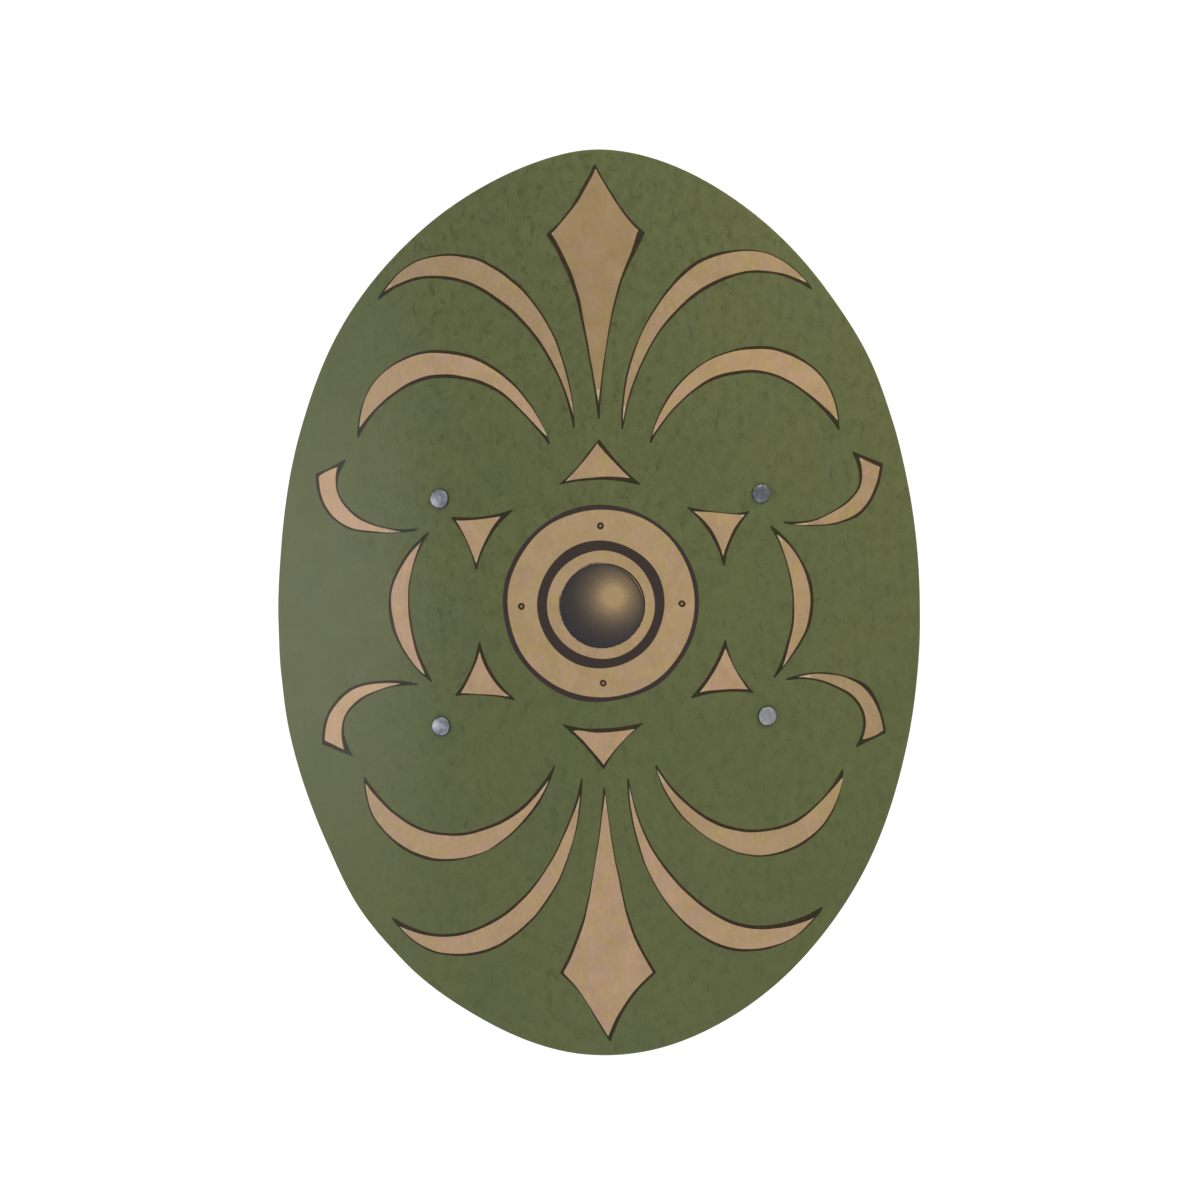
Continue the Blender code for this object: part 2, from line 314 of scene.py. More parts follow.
# Each ornament is the tone of its gold, and the marks that its line runs through, either way
# round. A mark of three numbers is a point of the line and the line's width there. A mark of
# four is a corner: the point where the gold ends, and the point where the ink ends.
ORNAMENTS = {
    "top_lance": ("dark",
        (2, 215, 1.5, 217), (-5, 204, 1.6), (-12.5, 193, 0.9), (-20.5, 183.5, -22.5, 183),
        (-9, 155, 1.9), (-4.5, 132.5, 1.1), (1.5, 98.5, 1.5, 91.5), (6.5, 130.5, 0.6),
        (13, 157.5, 1.1), (20.5, 175, 2.3), (22.5, 184.5, 25.5, 183), (15.5, 193.5, 0.9),
        (8.5, 204.5, 0.8)),
    "bottom_lance": ("rosy",
        (1.5, -95.5, 1, -92), (-5, -134, 0.3), (-9.5, -155, 0.9), (-20.5, -183.5, -22, -183.5),
        (-8.5, -199.5, 0.4), (-5.5, -205, 0.6), (1, -215, 2, -217.5), (11, -198.5, 1.4),
        (23.5, -184, 25, -184), (14, -163, 1.1), (7, -133, 0.6)),
    "outer_ray_upper_left": ("dull",
        (-106.5, 157.5, -109.5, 154), (-92.5, 170.5, 0.7), (-61.5, 173, 1.3), (-40, 160.5, 1.3),
        (-24, 140, 0.8), (-12, 103.5, 0.5), (-11, 93, -11, 87), (-18, 112, 0.9), (-29, 132, 1.5),
        (-44.5, 148.5, 1.7), (-64, 160.5, 1.6), (-87.5, 163.5, 1.4)),
    "inner_ray_upper_left": ("rosy",
        (-121, 90, -122, 85), (-113.5, 111.5, 0.5), (-90.5, 125.5, 1.3), (-57.5, 121.5, 1.5),
        (-37.5, 105.5, 0.9), (-24.5, 83, -23.5, 79.5), (-30.5, 88.5, 1), (-53, 108.5, 1.5),
        (-85, 113.5, 1.8), (-113.5, 97, 1.4)),
    "outer_ray_upper_right": ("dull",
        (13.5, 90, 13, 86), (17.5, 118.5, 0.7), (31, 146.5, 0.8), (53.5, 169, 1.8),
        (89.5, 172.5, 0.4), (108.5, 158.5, 111, 155.5), (78, 163.5, 1.1), (56.5, 156, 1.8),
        (35.5, 138, 1), (21, 113, 0.7)),
    "inner_ray_upper_right": ("gold",
        (28, 82.5, 27, 79), (39.5, 105.5, 0.8), (62, 122, 0.7), (92, 125, 1.7), (118.5, 108, 0.9),
        (124, 89.5, 124.5, 85), (110, 101, 1.4), (87.5, 113, 1.4), (59.5, 110.5, 1.5),
        (35, 91, 0.8)),
    "horn_upper_left": ("light",
        (-144, 66, -145.5, 67), (-141, 50.5, 1.3), (-129, 40, 1.2), (-117.5, 37.5, 0.9),
        (-99.5, 37, -91.5, 38), (-109, 39.5, 0.8), (-123.5, 45.5, 1.1), (-134, 59, 0.9),
        (-133.5, 70.5, -129.5, 73.5), (-142, 68, 1.3)),
    "crescent_left": ("pale",
        (-89, 32, -85.5, 36), (-98.5, 22.5, 1.5), (-105.5, 8, 1.3), (-105, -9.5, 1.7),
        (-98, -24.5, 0.7), (-88.5, -34.5, -85, -38), (-94.5, -14, 1.1), (-95.5, 12, 0.6)),
    "horn_lower_left": ("light",
        (-101.5, -39, -92.5, -39.5), (-111, -38, 1.3), (-129, -42, 1.5), (-140, -52.5, 1.5),
        (-143.5, -67.5, -144.5, -69), (-132.5, -72, -128, -75), (-132, -56.5, 0.9),
        (-124.5, -48, 1.3), (-112, -42, 0.4)),
    "horn_upper_right": ("dull",
        (135.5, 71, 132, 73.5), (147, 66, 148.5, 67.5), (138, 45, 1.6), (102.5, 37, 0.3),
        (99.5, 37.5, 94.5, 38.5), (117, 42, 0.6), (136, 58.5, 1.4)),
    "crescent_right": ("gold",
        (90.5, 32.5, 87.5, 36.5), (100.5, 23, 1.2), (108, 5.5, 1.8), (106, -14, 1.4),
        (99.5, -25, 1.1), (92.5, -33.5, 88, -38.5), (94.5, -25, 1.4), (98, -11, 1.1),
        (95.5, 18, 0.6)),
    "horn_lower_right": ("dull",
        (100, -39, 94.5, -40), (116.5, -37.5, 0.7), (126, -39.5, 0.7), (136.5, -44.5, 2.3),
        (144, -55, 1.6), (146.5, -67, 147.5, -68), (144.5, -69, 1.3), (135, -71, 131.5, -74.5),
        (135, -57, 1.4), (130.5, -50.5, 1.6), (120, -44, 1.1), (109.5, -40.5, 0.9)),
    "outer_ray_lower_left": ("rosy",
        (-11, -95.5, -10, -87.5), (-20, -116.5, 0.7), (-34, -139.5, 0.9), (-55, -157.5, 1.5),
        (-75.5, -164.5, 1.3), (-104, -160.5, -107.5, -156.5), (-90, -171.5, 0.8),
        (-59.5, -172.5, 1.3), (-38, -159, 1.1), (-23.5, -140, 0.7), (-15.5, -120.5, 0.5)),
    "inner_ray_lower_left": ("rosy",
        (-121, -89, -121.5, -86), (-78, -114.5, 1.3), (-54.5, -110, 1.5), (-26.5, -88, -23.5, -81),
        (-39, -108, 1), (-61.5, -124, 0.5), (-90, -126, 1.6), (-118.5, -102.5, 0.7)),
    "outer_ray_lower_right": ("rosy",
        (13.5, -91, 13, -88), (30.5, -132, 1.1), (71, -162.5, 1.7), (107, -159.5, 111, -155),
        (94, -170, 0.6), (61, -173, 1.5), (40, -160, 0.9), (25.5, -140.5, 0.6), (16, -114.5, 0.7)),
    "inner_ray_lower_right": ("gold",
        (27.5, -83.5, 27, -81.5), (39.5, -98, 1.2), (54.5, -109.5, 1.6), (73, -115, 1.4),
        (94, -112.5, 1.5), (117, -95.5, 1.2), (123.5, -90, 123.5, -86), (115, -110.5, 0.8),
        (98.5, -123.5, 1.3), (75, -127.5, 0.7), (54, -119, 0.4), (35.5, -101.5, 0.8)),
    "triangle_top": ("gold",
        (0.5, 79, 1.5, 80.5), (-4.5, 73, 0.8), (-10.5, 66, 0.7), (-15.5, 60.5, -18.5, 59),
        (-1, 61.5, 1.4), (16.5, 61.5, 21, 58.5), (9.5, 69.5, 1.5)),
    "triangle_upper_left": ("rosy",
        (-71, 42, -73, 43.5), (-65.5, 31, 0.5), (-61, 20.5, -61, 17.5), (-54.5, 33.5, 1.5),
        (-48.5, 43.5, -42.5, 46.5), (-58.5, 43, 1.3)),
    "triangle_upper_right": ("gold",
        (48, 44.5, 45, 46.5), (56.5, 34, 1.7), (62.5, 22, 63, 17.5), (65.5, 28, 1.3),
        (69.5, 36, 1.5), (74, 42.5, 76, 44), (71, 43, 0.8), (59, 44, 0.4)),
    "triangle_lower_left": ("rosy",
        (-60, -23.5, -60, -19), (-64.5, -33, 1.2), (-70, -44, -72.5, -45), (-58, -45, 0.5),
        (-45.5, -46, -43, -47.5), (-54, -35.5, 1.8)),
    "triangle_lower_right": ("rosy",
        (63, -24, 63, -20), (56.5, -34.5, 1.6), (49.5, -45.5, 45.5, -48), (62.5, -45, 1.2),
        (74, -44.5, 76.5, -46), (67.5, -33.5, 0.4)),
    "triangle_bottom": ("rosy",
        (-14, -63.5, -18.5, -60.5), (-8, -70.5, 1.4), (1, -80.5, 1, -82.5), (9.5, -70.5, 0.5),
        (17, -63, 20.5, -60.5), (-1, -63.5, 2), (-13.5, -62.5, 1.9)),
}

# The drawn boss: the paint, the centre and the radius of each ring, from the outside in
BOSS_STEPS = 240
BOSS_WAVE = 26.0
BOSS_WOBBLE = 0.35
BOSS_RINGS = (("ring", (1.1, -0.5), 48.9), ("gold", (1.2, -0.5), 46.6),
              ("ring", (1.0, -1.1), 31.75), ("gold", (1.0, -1.1), 26.8))
PRINTED_RIVETS = ((1.4, 38.0), (-38.6, -1.3), (41.3, -1.3), (1.5, -40.1))
PRINTED_RIVET_RADIUS = 1.75
PRINTED_RIVET_EYE = 0.6

# The drawn dome has a ragged edge, and loose pen arcs that follow it: each is its paint, its
# radius, the angles where it starts and ends, and its width
DOME_CENTRE = (1.9, -1.6)
DOME_RADIUS = 21.2
DOME_SEEDS = (9, 10)  # of the line, and of its ragged edge
DOME_RAG = 0.18
DOME_RAG_WAVE = 1.6
DOME_ARCS = (("ink", 20.8, -40.0, 115.0, 0.9), ("dull", 20.2, 4.0, 60.0, 0.25),
             ("ink", 19.6, -4.0, 66.0, 0.5), ("ink", 21.7, 156.0, 192.0, 0.35),
             ("ink", 21.6, 84.0, 124.0, 0.3))
ARC_STEPS = 24


def slopes(knots):
    """The direction of a smooth line at each of its knots."""
    spans = [(after - before).length for before, after in zip(knots, knots[1:])]
    rates = [(after - before) / span for before, after, span in zip(knots, knots[1:], spans)]
    if len(rates) == 1:
        return rates * 2
    inner = [(rates[index] * spans[index + 1] + rates[index + 1] * spans[index])
             / (spans[index] + spans[index + 1]) for index in range(len(rates) - 1)]
    return [2.0 * rates[0] - inner[0], *inner, 2.0 * rates[-1] - inner[-1]]


def smooth_line(knots):
    """Points along a smooth line through the knots, without the last one."""
    ways = slopes(knots)
    line = []
    for near, far, leave, arrive in zip(knots, knots[1:], ways, ways[1:]):
        third = (far - near).length / 3.0
        count = max(FEWEST_STEPS, round(3.0 * third / LINE_STEP))
        line += geometry.interpolate_bezier(near, near + third * leave, far - third * arrive,
                                            far, count + 1)[:-1]
    return [Vector((point.x, point.y)) for point in line]


def signed_area(loop):
    """Positive where the loop runs counter-clockwise."""
    return 0.5 * sum(near.cross(far) for near, far in zip(loop, loop[1:] + loop[:1]))


def unsteady(loop, amount, wave, seed):
    """The loop as a hand draws it: it strays by up to the amount, slowly."""
    strays = [noise.noise(Vector((point.x / wave, point.y / wave, seed))) for point in loop]
    return [point + amount * 2.0 * stray * normal
            for point, stray, normal in zip(loop, strays, loop_normals(loop))]


def ornament(marks):
    """The outline of an ornament's ink, the outline of its gold, and the corners of both.

    A corner is its number in the outline. With an ink corner comes how many points of the
    outline lie beside the ink that stands out past the gold there.
    """
    middles = [Vector(mark[:2]) if len(mark) == 3
               else 0.5 * (Vector(mark[:2]) + Vector(mark[2:])) for mark in marks]
    outward = copysign(1.0, signed_area(middles))
    starts = [index for index, mark in enumerate(marks) if len(mark) == 4]
    ink = []
    gold = []
    ink_corners = []
    gold_corners = []
    twice_round = list(zip(marks, middles)) * 2
    for start, stop in zip(starts, starts[1:] + [starts[0] + len(marks)]):
        side = twice_round[start:stop + 1]
        inks = []
        golds = []
        for (mark, middle), way in zip(side, slopes([middle for mark, middle in side])):
            aside = 0.5 * outward * Vector((way.y, -way.x)).normalized()
            if len(mark) == 4:
                golds.append(Vector(mark[:2]))
                inks.append(Vector(mark[2:]) + PEN_TIP * aside)
            else:
                width = hypot(mark[2], PEN_NIB)
                inks.append(middle + width * aside)
                golds.append(middle - width * aside)
        begin = Vector(marks[start][2:])
        past = begin - Vector(marks[start][:2])
        ink_corners.append((len(ink), 1 + round(past.length / LINE_STEP)))
        gold_corners.append(len(gold))
        ink.append(begin + PEN_FLICK * past)
        ink += smooth_line(inks) + [inks[-1]]
        gold += smooth_line(golds)
    if outward < 0.0:
        ink.reverse()
        gold.reverse()
        ink_corners = [(len(ink) - 1 - corner, beside) for corner, beside in ink_corners]
        gold_corners = [len(gold) - 1 - corner for corner in gold_corners]
    return ink, gold, ink_corners, gold_corners


def corner_of(loop, corner, beside):
    """The corner of a loop, cut off straight as many points away from it on both sides."""
    return [loop[(corner + step) % len(loop)] for step in range(-beside, beside + 1)]


def gold_point(loop, corner):
    """The corner of a gold outline, as far as it is narrow."""
    cuts = [corner_of(loop, corner, beside) for beside in range(1, POINT_STEPS + 1)]
    narrow = [cut for cut in cuts if dist(cut[0], cut[-1]) < POINT_WIDTH]
    return narrow[-1] if narrow else cuts[0]


def arc(centre, radius, start, end, width):
    """A drawn arc, thin at both its ends."""
    outer = []
    inner = []
    for step in range(ARC_STEPS + 1):
        turn = radians(start + (end - start) * step / ARC_STEPS)
        half = 0.5 * width * sin(pi * step / ARC_STEPS)
        way = Vector((cos(turn), sin(turn)))
        outer.append(Vector(centre) + (radius + half) * way)
        inner.append(Vector(centre) + (radius - half) * way)
    return outer + inner[-2:0:-1]


prints = []
for seed, (tone, *marks) in enumerate(ORNAMENTS.values()):
    ink_loop, gold_loop, ink_corners, gold_corners = ornament(marks)
    ink_line = unsteady(ink_loop, PEN_WOBBLE, PEN_WAVE, seed)
    gold_line = unsteady(gold_loop, PEN_WOBBLE, PEN_WAVE, seed + 0.5)
    printed = [(ink_line, "ink")]
    printed += [(corner_of(ink_line, *corner), "ink end") for corner in ink_corners]
    printed += [(gold_line, tone)]
    printed += [(gold_point(gold_line, corner), "gold point") for corner in gold_corners]
    # A hollow corner runs clockwise, and nothing is printed in it
    prints += [(loop, paint) for loop, paint in printed if signed_area(loop) > 0.0]
for seed, (paint, centre, radius) in enumerate(BOSS_RINGS):
    ring = unsteady(circle(centre, radius, BOSS_STEPS), BOSS_WOBBLE, BOSS_WAVE, seed)
    prints.append((ring, paint))
dome_line = circle(DOME_CENTRE, DOME_RADIUS, BOSS_STEPS)
dome_line = unsteady(dome_line, BOSS_WOBBLE, BOSS_WAVE, DOME_SEEDS[0])
prints.append((unsteady(dome_line, DOME_RAG, DOME_RAG_WAVE, DOME_SEEDS[1]), "dome"))
prints += [(arc(DOME_CENTRE, *sizes), paint) for paint, *sizes in DOME_ARCS]
for seed, centre in enumerate(PRINTED_RIVETS):
    rivet_line = circle(centre, PRINTED_RIVET_RADIUS, HOLE_STEPS)
    prints.append((unsteady(rivet_line, PEN_WOBBLE, PRINTED_RIVET_RADIUS, seed), "ink"))
    prints.append((circle(centre, PRINTED_RIVET_EYE, HOLE_STEPS), "dark"))

# Printed colours: offset ink under satin lacquer, which gives one even, soft sheen over
# all of them. Each is a little cloudy, as the scanned paper that it was drawn on. In every
# material on the drawing, Scale is one over the size of the pattern in millimetres.
LACQUER_IOR = 1.5
LACQUER_ROUGHNESS = 0.28
LACQUER_SPREAD = 0.03  # how much rougher or smoother it is in places


def lacquered(name, ink, *tones):
    """Ink of some tones under the satin lacquer, which shows the faint grain of the veneer."""
    made, add, shader = material(name)
    drawing = add("UVMap", uv_map="drawing")
    uneven = add("TexNoise", {"Vector": drawing, "Scale": 1.0 / 14.0, "Detail": 3.0})
    gloss = add("MapRange", {"Value": uneven, "From Min": 0.3, "From Max": 0.7,
                             "To Min": LACQUER_ROUGHNESS - LACQUER_SPREAD,
                             "To Max": LACQUER_ROUGHNESS + LACQUER_SPREAD})
    along_grain = add("VectorMath", {0: drawing, 1: (1.0, 0.12, 1.0)}, operation="MULTIPLY")
    grain = add("TexNoise", {"Vector": along_grain, "Scale": 1.0, "Detail": 3.0})
    bump = add("Bump", {"Height": grain, "Distance": 0.02 * MM, "Strength": 0.3})
    connect(shader, {"Base Color": ink(add, drawing, *tones), "Roughness": gloss,
                     "IOR": LACQUER_IOR, "Normal": bump})
    return made


def green_ink(add, drawing):
    """Dull green ink. Soft blotches and short dark fibres keep the big field from being flat."""
    clouds = add("TexNoise", {"Vector": drawing, "Scale": 1.0 / 45.0, "Detail": 2.0})
    warm = add("MapRange", {"Value": clouds, "From Min": 0.35, "From Max": 0.65})
    field = add("Mix", {"Factor": warm, "A": "#626a41", "B": "#666c40"}, data_type="RGBA")
    # The paper's texture is faint at the left and the bottom, and strongest at the top
    place = add("SeparateXYZ", {0: drawing})
    upwards = add("MapRange", {"Value": place.outputs["Y"], "From Min": -120.0,
                               "From Max": 200.0, "To Min": 0.42, "To Max": 0.68})
    rightwards = add("MapRange", {"Value": place.outputs["X"], "From Min": -140.0,
                                  "From Max": -80.0, "To Min": 0.25})
    strength = add("Math", {0: upwards, 1: rightwards}, operation="MULTIPLY")
    upright = add("VectorMath", {0: drawing, 1: (1.0, 0.6, 1.0)}, operation="MULTIPLY")
    stains = add("TexNoise", {"Vector": upright, "Scale": 1.0 / 4.5, "Detail": 3.0, "Roughness": 0.6})
    blotches = add("MapRange", {"Value": stains, "From Min": 0.4, "From Max": 0.76})
    shown_blotches = add("Math", {0: blotches, 1: strength}, operation="MULTIPLY")
    blotched = add("Mix", {"Factor": shown_blotches, "A": field, "B": "#4e552c"}, data_type="RGBA")
    # A fibre is where a coarse noise crosses its middle value, and a second one cuts it short
    curls = add("TexNoise", {"Vector": upright, "Scale": 1.0 / 6.0, "Detail": 2.0, "Distortion": 0.8})
    off_middle = add("Math", {0: curls, 1: 0.5}, operation="SUBTRACT")
    distance = add("Math", {0: off_middle}, operation="ABSOLUTE")
    threads = add("MapRange", {"Value": distance, "From Min": 0.0, "From Max": 0.045,
                               "To Min": 1.0, "To Max": 0.0})
    gaps = add("TexNoise", {"Vector": upright, "Scale": 1.0 / 4.2, "Detail": 1.0})
    pieces = add("MapRange", {"Value": gaps, "From Min": 0.5, "From Max": 0.6})
    fibres = add("Math", {0: threads, 1: pieces}, operation="MULTIPLY")
    shown_fibres = add("Math", {0: fibres, 1: strength}, operation="MULTIPLY")
    return add("Mix", {"Factor": shown_fibres, "A": blotched, "B": "#454b2a"}, data_type="RGBA")


def gold_ink(add, drawing, pink, yellow, brushed):
    """Gold-brown ink in soft pink and yellow clouds. Short light strokes make it look brushed."""
    clouds = add("TexNoise", {"Vector": drawing, "Scale": 1.0 / 9.0, "Detail": 3.0})
    cloudy = add("MapRange", {"Value": clouds, "From Min": 0.38, "From Max": 0.62})
    field = add("Mix", {"Factor": cloudy, "A": pink, "B": yellow}, data_type="RGBA")
    shade = add("TexNoise", {"Vector": drawing, "Scale": 1.0 / 14.0, "Detail": 4.0, "Distortion": 0.5})
    worn = add("MapRange", {"Value": shade, "From Min": 0.35, "From Max": 0.65,
                            "To Min": 0.12, "To Max": 0.0})
    shaded = add("Mix", {"Factor": worn, "A": field, "B": "#3a2c1c"}, data_type="RGBA")
    slanted = add("Mapping", {"Vector": drawing, "Rotation": (0.0, 0.0, 0.6), "Scale": (1.0, 0.4, 1.0)})
    strokes = add("TexNoise", {"Vector": slanted, "Scale": 1.0 / 2.2, "Detail": 2.0})
    light = add("MapRange", {"Value": strokes, "From Min": 0.5, "From Max": 0.75, "To Max": brushed})
    stroked = add("Mix", {"Factor": light, "A": shaded, "B": "#dcb683"}, data_type="RGBA")
    dots = add("TexVoronoi", {"Vector": drawing, "Scale": 1.0 / 3.6})
    specks = add("MapRange", {"Value": dots, "From Min": 0.06, "From Max": 0.17,
                              "To Min": brushed, "To Max": 0.0})
    return add("Mix", {"Factor": specks, "A": stroked, "B": "#e2bf90"}, data_type="RGBA")


def pen_ink(add, drawing, full, thin):
    """Near-black ink, a little thin and brown in places, as a pen leaves it."""
    flow = add("TexNoise", {"Vector": drawing, "Scale": 1.0 / 3.0, "Detail": 3.0})
    thinned = add("MapRange", {"Value": flow, "From Min": 0.45, "From Max": 0.75, "To Max": 0.6})
    return add("Mix", {"Factor": thinned, "A": full, "B": thin}, data_type="RGBA")


DOME_GLOW = (7.2, 2.8)  # where the drawn light falls
GLOW_START = 4.5  # it is full as near as this, and gone at its end
GLOW_END = 43.0
GLOW_FALL = 5.5  # how steeply it fades
GLOW_STRAY = 3.0  # how far the stippling strays
DOME_EDGE = 3.0  # the last millimetres, which are darker


def dome_ink(add, drawing):
    """The drawn dome: ink hatched and stippled away to gold where its light falls."""
    stipple = add("TexNoise", {"Vector": drawing, "Scale": 1.0 / 1.3, "Detail": 2.0})
    from_glow = add("VectorMath", {0: drawing, 1: (*DOME_GLOW, 0.0)}, operation="DISTANCE")
    stray = add("Math", {0: stipple, 1: GLOW_STRAY, 2: -0.5 * GLOW_STRAY}, operation="MULTIPLY_ADD")
    strayed = add("Math", {0: from_glow, 1: stray}, operation="ADD")
    fade = add("MapRange", {"Value": strayed, "From Min": GLOW_END, "From Max": GLOW_START})
    lit = add("Math", {0: fade, 1: GLOW_FALL}, operation="POWER")
    from_middle = add("VectorMath", {0: drawing, 1: (*DOME_CENTRE, 0.0)}, operation="DISTANCE")
    inward = add("MapRange", {"Value": from_middle, "From Min": DOME_RADIUS - DOME_EDGE,
                              "From Max": DOME_RADIUS, "To Min": 1.0, "To Max": 0.5})
    shown = add("Math", {0: lit, 1: inward}, operation="MULTIPLY")
    return add("Mix", {"Factor": shown, "A": "#2e2b2f", "B": "#b4986f"}, data_type="RGBA")


FRONT_GLUE = 1.2  # the two glue lines, below the front face
BACK_GLUE = 2.8
GLUE_BLUR = 0.08  # sanding smears the edge between two plies


def ply_edge():
    """Sawn and sanded poplar ply: a darker end-grain core between two pale faces."""
    made, add, shader = material("sanded_poplar_ply_edge")
    drawing = add("UVMap", uv_map="drawing")
    depth = add("SeparateXYZ", {0: drawing}).outputs["Y"]
    along_edge = add("VectorMath", {0: drawing, 1: (0.1, 2.5, 1.0)}, operation="MULTIPLY")
    streaks = add("TexNoise", {"Vector": along_edge, "Scale": 1.0, "Detail": 4.0})
    streaky = add("MapRange", {"Value": streaks, "From Min": 0.35, "From Max": 0.7})
    faces = add("Mix", {"Factor": streaky, "A": "#cdb287", "B": "#b2936a"}, data_type="RGBA")
    pores = add("TexNoise", {"Vector": drawing, "Scale": 1.0 / 0.4, "Detail": 3.0})
    porous = add("MapRange", {"Value": pores, "From Min": 0.4, "From Max": 0.62})
    core = add("Mix", {"Factor": porous, "A": "#a5835a", "B": "#866743"}, data_type="RGBA")
    below_front = add("MapRange", {"Value": depth, "From Min": FRONT_GLUE - GLUE_BLUR,
                                   "From Max": FRONT_GLUE + GLUE_BLUR})
    above_back = add("MapRange", {"Value": depth, "From Min": BACK_GLUE + GLUE_BLUR,
                                  "From Max": BACK_GLUE - GLUE_BLUR})
    within = add("Math", {0: below_front, 1: above_back}, operation="MULTIPLY")
    plies = add("Mix", {"Factor": within, "A": faces, "B": core}, data_type="RGBA")
    bump = add("Bump", {"Height": pores, "Distance": 0.1 * MM, "Strength": 0.5})
    connect(shader, {"Base Color": plies, "Roughness": 0.62, "Normal": bump})
    return made


def bare_veneer():
    """Rotary-cut poplar veneer, sanded: broad pale figure with fine grain along the board."""
    made, add, shader = material("bare_poplar_veneer")
    drawing = add("UVMap", uv_map="drawing")
    broad = add("VectorMath", {0: drawing, 1: (0.05, 0.006, 1.0)}, operation="MULTIPLY")
    figure = add("TexNoise", {"Vector": broad, "Scale": 1.0, "Detail": 5.0, "Distortion": 0.8})
    figured = add("MapRange", {"Value": figure, "From Min": 0.35, "From Max": 0.65})
    tone = add("Mix", {"Factor": figured, "A": "#cbb088", "B": "#b6966c"}, data_type="RGBA")
    fine = add("VectorMath", {0: drawing, 1: (1.6, 0.04, 1.0)}, operation="MULTIPLY")
    grain = add("TexNoise", {"Vector": fine, "Scale": 1.0, "Detail": 4.0})
    veins = add("MapRange", {"Value": grain, "From Min": 0.5, "From Max": 0.78, "To Max": 0.55})
    grained = add("Mix", {"Factor": veins, "A": tone, "B": "#94734c"}, data_type="RGBA")
    bump = add("Bump", {"Height": grain, "Distance": 0.12 * MM, "Strength": 0.6})
    connect(shader, {"Base Color": grained, "Roughness": 0.66, "Normal": bump})
    return made


# The surface map: the front with its rim round it fills most of the square, and the back
# lies beside it in two halves.
MAP_SCALE = 0.00212  # of the square to a millimetre
MAP_MIDDLE = Vector((0.374, 0.5))
BACK_MAP_SCALE = 0.00107
BACK_MAP_EDGE = 0.756
BACK_MAP_HALVES = (0.253, 0.747)


def front_on_map(point):
    return MAP_MIDDLE + MAP_SCALE * point


def back_on_map(point):
    half = BACK_MAP_HALVES[point.x > 0.0]
    return Vector((BACK_MAP_EDGE + BACK_MAP_SCALE * abs(point.x), half + BACK_MAP_SCALE * point.y))


def rivet_spot(name):
    """Where the axis of a rivet meets the flat drawing, from its solid in the frame."""
    low, high = (Vector(corner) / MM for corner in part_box(name))
    middle = 0.5 * (low + high)
    angle = atan2(middle.x, middle.z - CROWN + BEND_RADIUS)
    return Vector((BEND_RADIUS * angle, middle.y))


RIVETS = ("rivet_upper_left", "rivet_lower_left", "rivet_upper_right", "rivet_lower_right")
spots = {name: rivet_spot(name) for name in RIVETS}
sheets = [lacquered("green_offset_print", green_ink), ply_edge(), bare_veneer()]
# Each paint: its material's name, its ink and the tones of that ink
paints = {
    "ink": lacquered("brown_line_print", pen_ink, "#31230a", "#4e350c"),
    "ink end": lacquered("green_black_line_end_print", pen_ink, "#262904", "#2c2f08"),
    "ring": lacquered("black_ring_print", pen_ink, "#382c26", "#3d3027"),
    "dome": lacquered("shaded_dome_print", dome_ink),
    "gold": lacquered("gold_print", gold_ink, "#ba9b7a", "#b69d6c", 0.22),
    "rosy": lacquered("rosy_gold_print", gold_ink, "#c19f82", "#bda174", 0.3),
    "pale": lacquered("pale_gold_print", gold_ink, "#c9a58a", "#c5a67c", 0.5),
    "light": lacquered("light_gold_print", gold_ink, "#d7b090", "#d3b183", 0.5),
    "dark": lacquered("dark_gold_print", gold_ink, "#a98c6a", "#a58d5f", 0.1),
    "dull": lacquered("dull_gold_print", gold_ink, "#b09474", "#ac9566", 0.2),
    "gold point": lacquered("thin_gold_point_print", gold_ink, "#bfb093", "#c1b296", 0.2),
}
numbers = {paint: number for number, paint in enumerate(paints, len(sheets))}
board = plate(
    "bent_board",
    [outline_point(tau * step / OUTLINE_STEPS) for step in range(OUTLINE_STEPS)],
    [circle(spot, HOLE_RADIUS, HOLE_STEPS) for spot in spots.values()],
    [(loop, numbers[paint]) for loop, paint in prints], ROUNDING_STEPS,
    sheets + list(paints.values()), BOARD_THICKNESS, RIM_ROUNDING, (BOARD_GRID, BACK_GRID),
    bend, (front_on_map, back_on_map))
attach(board, "root")
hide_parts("board")

# The straps. Guessed, as the back doesn't show: two bands of vegetable-tanned cowhide,
# 25 mm wide, cut round at their ends and riveted there, bowed so that a hand and a forearm
# go through.
STRAP_WIDTH = 25.0
STRAP_THICKNESS = 2.0
STRAP_BOW = 21.0
STRAP_SEAT = 10.0  # a strap lies on the board as far inwards of each rivet as this
STRAP_ROUNDING = 0.4
STRAP_END_STEPS = 40
STRAP_GRID = (2.5, 2.5)
TOUCH_GAP = 0.3  # between pieces that are pressed together
STRAPS = {"hand_strap": ("rivet_lower_left", "rivet_upper_left"),
          "arm_strap": ("rivet_lower_right", "rivet_upper_right")}


def strap_outline(length):
    """A strap's outline, along its length in x, with its ends round about the rivets."""
    outline = []
    for end in (1.0, -1.0):
        for step in range(STRAP_END_STEPS + 1):
            turn = pi * (step / STRAP_END_STEPS - 0.5)
            outline.append(Vector((end * 0.5 * (length + STRAP_WIDTH * cos(turn)),
                                   end * 0.5 * STRAP_WIDTH * sin(turn))))
        side_steps = round(length / STRAP_GRID[1])
        for step in range(1, side_steps):
            outline.append(Vector((end * length * (0.5 - step / side_steps), end * 0.5 * STRAP_WIDTH)))
    return outline


